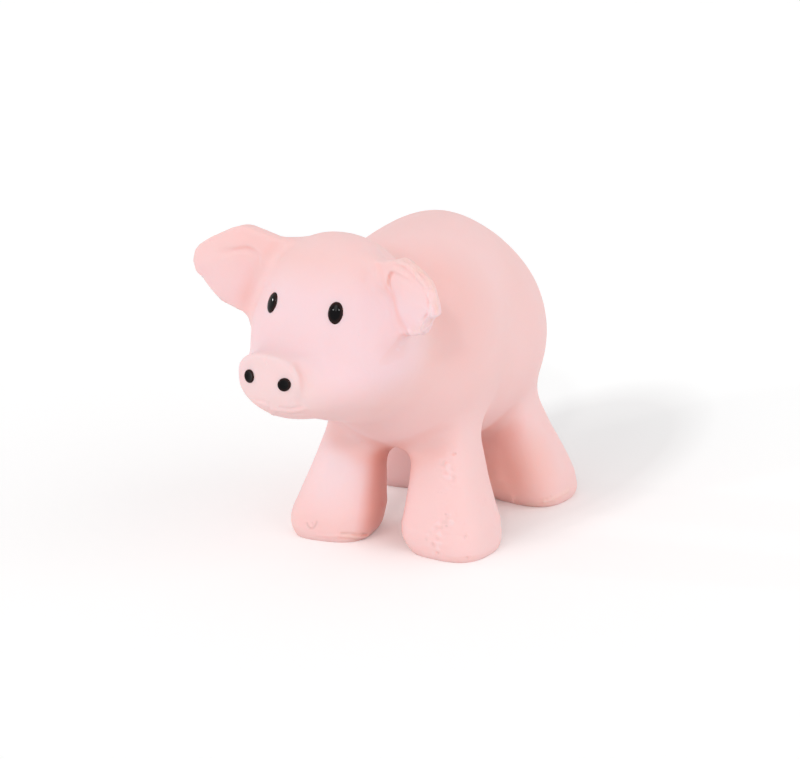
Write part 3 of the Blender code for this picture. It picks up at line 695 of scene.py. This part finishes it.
def field_on_grid():
    """The skin's distance on a grid, worked out in full only where the skin passes."""
    counts = (np.ceil((GRID_HIGH - GRID_LOW) / GRID_STEP / COARSE).astype(int)) * COARSE + 1
    axes = [GRID_LOW[i] + GRID_STEP * np.arange(counts[i]) for i in range(3)]
    coarse = np.stack(np.meshgrid(*(axis[::COARSE] for axis in axes), indexing="ij"), axis=-1)
    rough = skin_distance(coarse.reshape(-1, 3)).reshape(coarse.shape[:3])
    field = rough.repeat(COARSE, 0).repeat(COARSE, 1).repeat(COARSE, 2)
    field = field[:counts[0], :counts[1], :counts[2]]
    near = np.argwhere(np.abs(field) < GRID_STEP * COARSE * FULL_WITHIN)
    places = GRID_LOW + GRID_STEP * near
    field[tuple(near.T)] = skin_distance(places)
    return field


def surface_net(field):
    """A closed mesh of four-sided faces where the field changes sign."""
    inside = field < 0
    size = np.array(field.shape) - 1
    corners = [np.array((a, b, c)) for a in (0, 1) for b in (0, 1) for c in (0, 1)]

    def view(array, corner):
        return array[tuple(slice(o, o + s) for o, s in zip(corner, size))]

    total = sum(view(inside, corner).astype(np.int8) for corner in corners)
    cells = np.argwhere((total > 0) & (total < 8))
    number = np.full(size, -1)
    number[tuple(cells.T)] = np.arange(len(cells))
    place = np.zeros((len(cells), 3))
    crossings = np.zeros(len(cells))
    for start in corners:
        for axis in range(3):
            if start[axis]:
                continue
            end = start + np.eye(3, dtype=int)[axis]
            low = field[tuple((cells + start).T)]
            high = field[tuple((cells + end).T)]
            crossed = (low < 0) != (high < 0)
            share = low[crossed] / (low[crossed] - high[crossed])
            place[crossed] += cells[crossed] + start + share[:, None] * np.eye(3)[axis]
            crossings[crossed] += 1
    place /= crossings[:, None]
    faces = []
    for axis in range(3):
        step = np.eye(3, dtype=int)[axis]
        first, second = np.eye(3, dtype=int)[(axis + 1) % 3], np.eye(3, dtype=int)[(axis + 2) % 3]
        low = inside[tuple(slice(0, n - s) for n, s in zip(field.shape, step))]
        high = inside[tuple(slice(s, n) for n, s in zip(field.shape, step))]
        for from_inside in (True, False):
            starts = np.argwhere(low & ~high if from_inside else high & ~low)
            ring = [starts, starts - first, starts - first - second, starts - second]
            if not from_inside:
                ring.reverse()
            faces.append(np.stack([number[tuple(corner.T)] for corner in ring], axis=1))
    faces = np.concatenate(faces)
    mesh = bpy.data.meshes.new("skin")
    mesh.from_pydata((GRID_LOW + GRID_STEP * place).tolist(), [], faces.tolist())
    mesh.update()
    return mesh


def applied(item):
    """The object's mesh with its modifiers applied."""
    graph = bpy.context.evaluated_depsgraph_get()
    mesh = bpy.data.meshes.new_from_object(item.evaluated_get(graph))
    item.modifiers.clear()
    return mesh


def link(name, mesh):
    item = bpy.data.objects.new(name, mesh)
    bpy.context.scene.collection.objects.link(item)
    return item


def numbers(items, name, width, kind=float):
    """What each of a mesh's items holds under a name."""
    values = np.empty(len(items) * width, kind)
    items.foreach_get(name, values)
    return values.reshape(-1, width)


def settle(points, steps):
    """Points moved onto the skin."""
    for _ in range(steps):
        here, slope = slope_of(skin_distance, points)
        points = points - slope * (here / (slope**2).sum(axis=1))[:, None]
    return points


def smoothed(points, edges, factor=0.5):
    total = np.zeros_like(points)
    count = np.zeros(len(points))
    for a, b in ((0, 1), (1, 0)):
        np.add.at(total, edges[:, a], points[edges[:, b]])
        np.add.at(count, edges[:, a], 1)
    return points + factor * (total / count[:, None] - points)


def detail_levels(places):
    """How often the mesh is halved there for its forms and marks."""
    straight = straightened(places)
    ear = about_ears(straight, *FINE_EARS)
    levels = (ear | (straight[:, 1] < FINE_SNOUT_UP_TO_Y) | (places[:, 2] < FINE_SOLES_UP_TO_Z)).astype(int)
    left_ear = np.flatnonzero(ear & (straight[:, 0] > 0))
    rim = outline_gap(straight[left_ear][:, (0, 2)], EAR_OUTLINES[1]) > FINE_RIM
    levels[left_ear[rim]] = 2
    return np.maximum(levels, mark_levels(places))


def make_outside():
    """The casting's outside as a closed object: a net over the grid, settled on the skin and halved twice."""
    item = link("rubber_casting", surface_net(field_on_grid()))
    edges = numbers(item.data.edges, "vertices", 2, np.int64)
    points = numbers(item.data.vertices, "co", 3)
    for _ in range(2):
        points = settle(smoothed(points, edges), 1)
    points = settle(points, 1)
    item.data.vertices.foreach_set("co", points.ravel())
    for level in (1, 2):
        centres = numbers(item.data.polygons, "center", 3)
        fine = np.flatnonzero(detail_levels(centres) >= level)
        bm = bmesh.new()
        bm.from_mesh(item.data)
        bm.faces.ensure_lookup_table()
        edges = list({e for index in fine for e in bm.faces[index].edges})
        bmesh.ops.subdivide_edges(bm, edges=edges, cuts=1, use_grid_fill=True)
        bm.to_mesh(item.data)
        bm.free()
        points = settle(numbers(item.data.vertices, "co", 3), 2)
        item.data.vertices.foreach_set("co", points.ravel())
    return item


def cut(item, name, mesh):
    cutter = link(name, mesh)
    modifier = item.modifiers.new("cut", "BOOLEAN")
    modifier.operation = "DIFFERENCE"
    modifier.object = cutter
    modifier.solver = "MANIFOLD"
    item.data = applied(item)
    bpy.data.objects.remove(cutter)


def tint_near(points, courses, width):
    """1 on the courses, falling to 0 away from them."""
    result = np.zeros(len(points))
    for course in courses:
        near, gap = gap_near(points, course, 3 * width)
        result[near] = np.maximum(result[near], swell(gap, 0, width))
    return result


def mark_tints(mesh):
    """Stores at each point how closed in it lies, for the painted shade in its crooks, and its share of
    flash, specks and blisters.
    """
    points = numbers(mesh.vertices, "co", 3)
    slope = slope_of(skin_distance, points)[1]
    normal = slope / np.linalg.norm(slope, axis=1)[:, None]
    closed = np.zeros(len(points))
    for reach in CREVICE_SHADE_PROBES:
        probe = points + normal * reach
        closed += (1 - np.clip(skin_distance(probe) / reach, 0, 1)) / len(CREVICE_SHADE_PROBES)
    dark = [course for course, width, depth in MARKED if width < SPECK_UNDER and depth > SPECK_DEPTH]
    tints = (
        ("crevice_shade", closed), ("flash", tint_near(points, FLASH_COURSES, FLASH_WIDTH)),
        ("speck", tint_near(points, dark, SPECK_WIDTH)), ("blister", blisters_at(points)))
    for name, values in tints:
        attribute = mesh.attributes.new(name, "FLOAT", "POINT")
        attribute.data.foreach_set("value", values.astype(np.float32))


def make_casting():
    item = make_outside()
    cut(item, "hollow", hollow_mesh())
    bm = bmesh.new()
    bmesh.ops.create_cone(
        bm, cap_ends=True, segments=64, radius1=HOLE_RADIUS, radius2=HOLE_RADIUS, depth=HOLE_DEPTH,
        matrix=Matrix.Translation((0, SETBACK, HOLE_MIDDLE)))
    cut(item, "hole", new_mesh("hole", bm))
    bm = bmesh.new()
    bmesh.ops.create_cube(bm, size=FLOOR_BLOCK, matrix=Matrix.Translation((0, 0, -FLOOR_BLOCK / 2)))
    cut(item, "floor_cut", new_mesh("floor cut", bm))
    mark_tints(item.data)
    item.data.transform(INTO_FRAME)
    item.data.shade_smooth()
    return item


# Materials

RUBBER_WARM = (0.925, 0.600, 0.582)
RUBBER_COOL = (0.930, 0.625, 0.615)
# Paler and cooler on the face: partly the rubber's own tint, partly painted light on the face, which faces
# the lamps
RUBBER_FACE = (0.920, 0.675, 0.715)
# Greyer and a little darker on the snout and chin: partly the rubber's own tint, partly painted shade on the
# snout's side
RUBBER_SNOUT = (0.905, 0.665, 0.660)
RUBBER_SHIN = (0.925, 0.710, 0.730)
# Soft patches of another colour, first a paler one on the front right shin, then painted shade on the rear
# left leg and a painted shadow of the head on the left shoulder: colour, middle in metres, largest share, and
# where that starts and ends
RUBBER_PATCHES_AND_SHADE = (
    (RUBBER_SHIN, (-0.0070, -0.0185, 0.0190), 0.9, 0.005, 0.0145),
    # Painted shade low on the front of the rear left leg
    ((0.870, 0.430, 0.350), (0.0205, 0.0247, 0.0085), 0.75, 0.004, 0.016),
    # Painted shadow of the head on the left shoulder
    ((0.860, 0.480, 0.440), (0.0215, -0.0148, 0.0625), 0.5, 0.006, 0.020),
)
RUBBER_FLASH = (0.900, 0.600, 0.520)
RUBBER_SPECK = (0.560, 0.400, 0.370)
RUBBER_SPOT = (0.900, 0.560, 0.560)
# Painted shade: a warmer, darker tint laid into the crooks by how closed in the skin is
RUBBER_CREVICE_SHADE = (0.900, 0.450, 0.390)
# Where the face's tint, partly painted light, and the snout's tint, partly painted shade, come and go, in
# metres
FACE_BY_Y = (-0.026, -0.040, 0, 0.8)
FACE_FROM_Z = (0.042, 0.050)
FACE_UP_TO_Z = (0.074, 0.066)
SNOUT_BY_Y = (-0.0485, -0.0525, 0, 0.8)
SNOUT_FROM_Z = (0.0405, 0.0445)
# How light goes through the rubber
SOFT_SHARE = 0.25
SOFT_RADII = (1.0, 0.35, 0.28)
SOFT_SCALE = 0.003
ENAMEL_BLACK = (0.002, 0.0015, 0.002)
ENAMEL_THIN = (0.030, 0.012, 0.010)
ENAMEL_GLOSS = 0.11
# Looks of the pieces inside: two near colours, the least and most roughness, and the scale of the grain
FINISHES = {
    "belly_plug": ("plug rubber", (0.85, 0.53, 0.53), (0.82, 0.48, 0.48), 0.6, 0.75, 900),
    "rattle_cup_lower": ("white plastic", (0.82, 0.80, 0.76), (0.78, 0.75, 0.70), 0.32, 0.45, 700),
    "rattle_cup_upper": ("blue plastic", (0.18, 0.39, 0.64), (0.15, 0.33, 0.56), 0.32, 0.45, 700),
}
PELLET_FINISH = ("pellet steel", (0.60, 0.61, 0.62), (0.50, 0.51, 0.52), 0.12, 0.3, 2500, 1.0)


def node_material(name):
    material = bpy.data.materials.new(name)
    material.use_nodes = True
    tree = material.node_tree
    return material, tree, tree.nodes["Principled BSDF"]


def set_inputs(node, **inputs):
    for name, value in inputs.items():
        node.inputs[name.replace("_", " ")].default_value = value


def add_node(tree, kind, **inputs):
    node = tree.nodes.new(kind)
    set_inputs(node, **inputs)
    return node


def add_math(tree, operation, first, second):
    node = tree.nodes.new("ShaderNodeMath")
    node.operation = operation
    tree.links.new(first, node.inputs[0])
    tree.links.new(second, node.inputs[1])
    return node.outputs[0]


def add_noise(tree, place, scale, detail=3.0, roughness=0.5):
    noise = add_node(tree, "ShaderNodeTexNoise", Scale=scale, Detail=detail, Roughness=roughness)
    tree.links.new(place, noise.inputs["Vector"])
    return noise.outputs["Fac"]

def add_span(tree, value, low, high, to_low=0.0, to_high=1.0):
    """A value carried from one span onto another, and held inside it."""
    node = add_node(tree, "ShaderNodeMapRange", From_Min=low, From_Max=high, To_Min=to_low, To_Max=to_high)
    tree.links.new(value, node.inputs["Value"])
    return node.outputs["Result"]


def add_mix(tree, share, first, second):
    """One colour laid over another; each is a colour or an output."""
    node = tree.nodes.new("ShaderNodeMix")
    node.data_type = "RGBA"
    tree.links.new(share, node.inputs["Factor"])
    for name, colour in (("A", first), ("B", second)):
        socket = next(s for s in node.inputs if s.name == name and s.type == "RGBA")
        if isinstance(colour, tuple):
            socket.default_value = (*colour, 1)
        else:
            tree.links.new(colour, socket)
    return next(s for s in node.outputs if s.type == "RGBA")


def object_place(tree):
    return tree.nodes.new("ShaderNodeTexCoord").outputs["Object"]


def add_attribute(tree, name):
    node = add_node(tree, "ShaderNodeAttribute")
    node.attribute_name = name
    return node.outputs["Fac"]


def add_gloss(tree, noise, shader, low, high):
    tree.links.new(add_span(tree, noise, 0.3, 0.7, low, high), shader.inputs["Roughness"])


def add_bump(tree, height, shader, strength, distance):
    bump = add_node(tree, "ShaderNodeBump", Strength=strength, Distance=distance)
    tree.links.new(height, bump.inputs["Height"])
    tree.links.new(bump.outputs["Normal"], shader.inputs["Normal"])


def add_product(tree, first, *others):
    for other in others:
        first = add_math(tree, "MULTIPLY", first, other)
    return first


def rubber_material():
    """Pale natural rubber: faint mottling, painted shade in the crooks, a face tint that is partly painted
    light, a snout tint that is partly painted shade, a paler patch, a patch of painted shade and a painted
    shadow, marks and a fine skin.
    """
    material, tree, shader = node_material("pink rubber")
    set_inputs(
        shader, Specular_IOR_Level=0.3, Subsurface_Weight=SOFT_SHARE, Subsurface_Radius=SOFT_RADII,
        Subsurface_Scale=SOFT_SCALE)
    place = object_place(tree)
    broad = add_span(tree, add_noise(tree, place, 38, 2), 0.35, 0.65)
    base = add_mix(tree, broad, RUBBER_WARM, RUBBER_COOL)
    spots = add_span(tree, add_noise(tree, place, 420, 4, 0.6), 0.62, 0.74, 0, 0.35)
    base = add_mix(tree, spots, base, RUBBER_SPOT)
    split = tree.nodes.new("ShaderNodeSeparateXYZ")
    tree.links.new(place, split.inputs["Vector"])
    y, z = split.outputs["Y"], split.outputs["Z"]
    # The face's tint, partly painted light
    low, high = add_span(tree, z, *FACE_FROM_Z), add_span(tree, z, *FACE_UP_TO_Z)
    face = add_product(tree, add_span(tree, y, *FACE_BY_Y), low, high)
    base = add_mix(tree, face, base, RUBBER_FACE)
    # The snout's tint, partly painted shade
    snout = add_product(tree, add_span(tree, y, *SNOUT_BY_Y), add_span(tree, z, *SNOUT_FROM_Z))
    base = add_mix(tree, snout, base, RUBBER_SNOUT)
    # A paler patch, then a patch of painted shade and a painted shadow
    for colour, middle, most, near, far in RUBBER_PATCHES_AND_SHADE:
        gap = add_node(tree, "ShaderNodeVectorMath")
        gap.operation = "DISTANCE"
        gap.inputs[1].default_value = middle
        tree.links.new(place, gap.inputs[0])
        base = add_mix(tree, add_span(tree, gap.outputs["Value"], far, near, 0, most), base, colour)
    patchy = add_span(tree, add_noise(tree, place, 600, 2), 0.35, 0.6, 0.15, 0.6)
    base = add_mix(tree, add_product(tree, add_attribute(tree, "flash"), patchy), base, RUBBER_FLASH)
    blister = add_attribute(tree, "blister")
    # The last of these tints is painted shade in the crooks
    for value, span, colour in (
            (add_attribute(tree, "speck"), (0.2, 1.0, 0, 0.5), RUBBER_SPECK),
            (blister, (0.1, 0.7, 0, 0.4), RUBBER_SHIN),
            (blister, (-0.3, -0.8, 0, 0.15), RUBBER_SPECK),
            (add_attribute(tree, "crevice_shade"), (0.14, 0.66), RUBBER_CREVICE_SHADE)):
        base = add_mix(tree, add_span(tree, value, *span), base, colour)
    tree.links.new(base, shader.inputs["Base Color"])
    add_gloss(tree, add_noise(tree, place, 150, 3), shader, 0.52, 0.66)
    add_bump(tree, add_noise(tree, place, 1400, 3, 0.6), shader, 0.12, 0.0002)
    return material


def enamel_material():
    """Black gloss enamel with a faint unevenness, brown where it thins out at its edge."""
    material, tree, shader = node_material("black enamel")
    shader.inputs["Specular IOR Level"].default_value = ENAMEL_GLOSS
    place = object_place(tree)
    thin = add_span(tree, add_attribute(tree, "thin"), 0.6, 1.0)
    tree.links.new(add_mix(tree, thin, ENAMEL_BLACK, ENAMEL_THIN), shader.inputs["Base Color"])
    add_gloss(tree, add_noise(tree, place, 900, 2), shader, 0.02, 0.045)
    add_bump(tree, add_noise(tree, place, 500, 1), shader, 0.15, 0.0003)
    return material


def moulded_material(name, light, dark, low, high, grain, metallic=0.0):
    """A moulded or ground surface: two near colours, uneven gloss and a fine grain."""
    material, tree, shader = node_material(name)
    shader.inputs["Metallic"].default_value = metallic
    place = object_place(tree)
    base = add_mix(tree, add_span(tree, add_noise(tree, place, 180, 4), 0.35, 0.65), light, dark)
    tree.links.new(base, shader.inputs["Base Color"])
    add_gloss(tree, add_noise(tree, place, 320, 3), shader, low, high)
    add_bump(tree, add_noise(tree, place, grain, 3, 0.6), shader, 0.15, 0.0002)
    return material


# Enamel drops

# Each mark by its place in the photograph: its middle, its half width and height, and its lean to the right
MARKS = {
    "right_eye": ((272.6, 302.6), (4.2, 10.8), 15.0),
    "left_eye": ((335.6, 313.0), (7.5, 11.3), 7.5),
    "right_nostril": ((249.6, 376.1), (4.5, 6.9), -9.0),
    "left_nostril": ((284.4, 384.7), (6.5, 6.8), -4.0),
}
DISHED = ("left_nostril", "right_nostril")
# Heights of a dome, a dish and the film under both, and how deep a drop reaches into the rubber
DROP_HEIGHT = 0.55
DISH_MIDDLE = 0.08
DISH_RISE = 0.36
DROP_FILM = 0.02
DROP_DEPTH = 0.3
# How far out the rings of a drop's mesh lie, and how many sides it has
DROP_RINGS = (0.12, 0.3, 0.5, 0.68, 0.82, 0.92, 0.98, 1.0)
DROP_SIDES = 56


def drop_height(reach, dished):
    """Height over the skin at a share of the way to the rim: a dome, or a dish with a round rim."""
    if dished:
        return (DISH_MIDDLE + DISH_RISE * reach**2) * math.sqrt(max(1 - reach**10, 0)) + DROP_FILM
    return DROP_HEIGHT * math.sqrt(max(1 - reach**2.2, 0)) + DROP_FILM


def make_drop(name, tree):
    """A drop of enamel that lies on the skin where the photograph shows it."""
    (across, down), (wide, high), lean = MARKS[name]
    lean = math.radians(lean)
    places = [(0.0, 0.0)]
    for ring in DROP_RINGS:
        for index in range(DROP_SIDES):
            angle = math.tau * index / DROP_SIDES
            wobble = 1 + 0.012 * math.sin(3 * angle + down) + 0.008 * math.sin(5 * angle + across)
            places.append((ring * wide * wobble * math.cos(angle), ring * high * wobble * math.sin(angle)))
    bm = bmesh.new()
    thin = bm.verts.layers.float.new("thin")
    tops = []
    for right, up in places:
        eye, direction = sight(
            across + right * math.cos(lean) + up * math.sin(lean),
            down - up * math.cos(lean) + right * math.sin(lean))
        place, normal, _, _ = tree.ray_cast(eye, direction)
        reach = min(math.hypot(right / wide, up / high), 1)
        vert = bm.verts.new(place + normal * drop_height(reach, name in DISHED))
        vert[thin] = reach
        tops.append((vert, place - normal * DROP_DEPTH))
    for ring in range(len(DROP_RINGS)):
        for index in range(DROP_SIDES):
            here = 1 + ring * DROP_SIDES + index
            there = 1 + ring * DROP_SIDES + (index + 1) % DROP_SIDES
            if ring == 0:
                bm.faces.new((tops[0][0], tops[here][0], tops[there][0]))
            else:
                inner = (tops[here - DROP_SIDES][0], tops[there - DROP_SIDES][0])
                bm.faces.new((inner[0], tops[here][0], tops[there][0], inner[1]))
    below = [bm.verts.new(place) for _, place in tops[-DROP_SIDES:]]
    last = [vert for vert, _ in tops[-DROP_SIDES:]]
    for index in range(DROP_SIDES):
        after = (index + 1) % DROP_SIDES
        bm.faces.new((last[index], below[index], below[after], last[after]))
    bm.faces.new(list(reversed(below)))
    bmesh.ops.recalc_face_normals(bm, faces=bm.faces)
    bmesh.ops.transform(bm, matrix=INTO_FRAME, verts=bm.verts)
    mesh = new_mesh(name, bm)
    mesh.shade_smooth()
    return link("enamel_" + name, mesh)


# Stage

SKY = 0.705
GLINT = 0.27
# Distant lamps: strength, width in degrees, and the way to them as a heading from +X and a height in degrees
LAMPS = {
    "key": (0.38, 22, 260, 32),
    "fill": (0.85, 80, 2, 13),
    "front_glint": (GLINT, 3.6, 285, 26),
    "side_glint": (GLINT, 3.6, 190, 10),
    "low_glint": (GLINT * 0.6, 2.8, 246, 21),
}
FLOOR_SIZE = 30
# The paper in the lamps' light, and what the camera sees of it and its glow, first in the painted shadow
PAPER = ((0.90, 0.90, 0.90), (0.92, 0.92, 0.92))
SEEN_PAPER = ((0.95, 0.943, 0.943), (1.0, 1.0, 1.0))
PAPER_GLOW = (0.025, 0.093)
# The painted shadow: an ellipse under and behind the figure where the paper is a little darker, in metres,
# and its soft edge
PAINTED_SHADOW_MIDDLE = (0.019, 0.070, 0)
PAINTED_SHADOW_HALVES = (0.033, 0.100, 1)
PAINTED_SHADOW_EDGE = (0.7, 1.05)


def add_lamp(name, energy, spread, heading, height):
    light = bpy.data.lights.new(name, "SUN")
    light.energy = energy
    light.angle = math.radians(spread)
    lamp = link(name, light)
    heading, height = math.radians(heading), math.radians(height)
    level = math.cos(height)
    towards = Vector((math.cos(heading) * level, math.sin(heading) * level, math.sin(height)))
    lamp.rotation_euler = towards.to_track_quat("Z", "Y").to_euler()


def add_seen(tree):
    """1 for rays that the camera sees, straight or by way of gloss or glass, and 0 for others."""
    path = tree.nodes.new("ShaderNodeLightPath")
    seen = path.outputs["Is Camera Ray"]
    for ray in ("Is Glossy Ray", "Is Transmission Ray"):
        seen = add_math(tree, "MAXIMUM", seen, path.outputs[ray])
    return seen


def make_floor():
    bm = bmesh.new()
    bmesh.ops.create_grid(bm, x_segments=1, y_segments=1, size=FLOOR_SIZE)
    floor = link("floor", new_mesh("floor", bm))
    material, tree, shader = node_material("pale floor")
    set_inputs(shader, Roughness=0.9, Specular_IOR_Level=0.0, Emission_Color=(1, 1, 1, 1))
    seen = add_seen(tree)
    reach = object_place(tree)
    paper = add_mix(tree, add_span(tree, add_noise(tree, reach, 30), 0.3, 0.7), *PAPER)
    # The painted shadow: inside the ellipse the paper that the camera sees is darker and glows less
    for operation, amounts in (("SUBTRACT", PAINTED_SHADOW_MIDDLE), ("DIVIDE", PAINTED_SHADOW_HALVES), ("LENGTH", None)):
        step = add_node(tree, "ShaderNodeVectorMath")
        step.operation = operation
        if amounts:
            step.inputs[1].default_value = amounts
        tree.links.new(reach, step.inputs[0])
        reach = step.outputs["Value" if operation == "LENGTH" else "Vector"]
    # 1 clear of the painted shadow, 0 inside it
    clear = add_span(tree, reach, *PAINTED_SHADOW_EDGE)
    shown = add_mix(tree, clear, *SEEN_PAPER)
    tree.links.new(add_mix(tree, seen, paper, shown), shader.inputs["Base Color"])
    glow = add_product(tree, seen, add_span(tree, clear, 0, 1, *PAPER_GLOW))
    tree.links.new(glow, shader.inputs["Emission Strength"])
    floor.data.materials.append(material)


def make_world():
    world = bpy.data.worlds.new("studio")
    bpy.context.scene.world = world
    world.use_nodes = True
    tree = world.node_tree
    background = tree.nodes["Background"]
    background.inputs["Color"].default_value = (1, 1, 1, 1)
    level = tree.nodes.new("ShaderNodeMath")
    level.operation = "MULTIPLY_ADD"
    level.inputs[1].default_value = 1 - SKY
    level.inputs[2].default_value = SKY
    tree.links.new(add_seen(tree), level.inputs[0])
    tree.links.new(level.outputs[0], background.inputs["Strength"])


def make_stage():
    make_floor()
    make_world()
    for name, settings in LAMPS.items():
        add_lamp(name, *settings)
    bpy.context.scene.view_settings.view_transform = "Standard"


def place(piece, node, slot, material):
    """A piece that stands for a node of the figure."""
    piece.data.materials.clear()
    piece.data.materials.append(material)
    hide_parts(node)
    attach(piece, "figure")


def main():
    make_stage()
    casting = make_casting()
    place(casting, "rubber_skin", "pink_rubber", rubber_material())
    bm = bmesh.new()
    bm.from_mesh(casting.data)
    bmesh.ops.transform(bm, matrix=OUT_OF_FRAME, verts=bm.verts)
    surface = BVHTree.FromBMesh(bm)
    bm.free()
    enamel = enamel_material()
    for name in MARKS:
        place(make_drop(name, surface), name, "black_enamel", enamel)
    finishes = {name: moulded_material(*finish) for name, finish in FINISHES.items()}
    steel = moulded_material(*PELLET_FINISH)
    for name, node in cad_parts.items():
        if name.startswith("pellet"):
            node.material_slots[0].material = steel
        elif name in finishes:
            node.material_slots[0].material = finishes[name]


main()
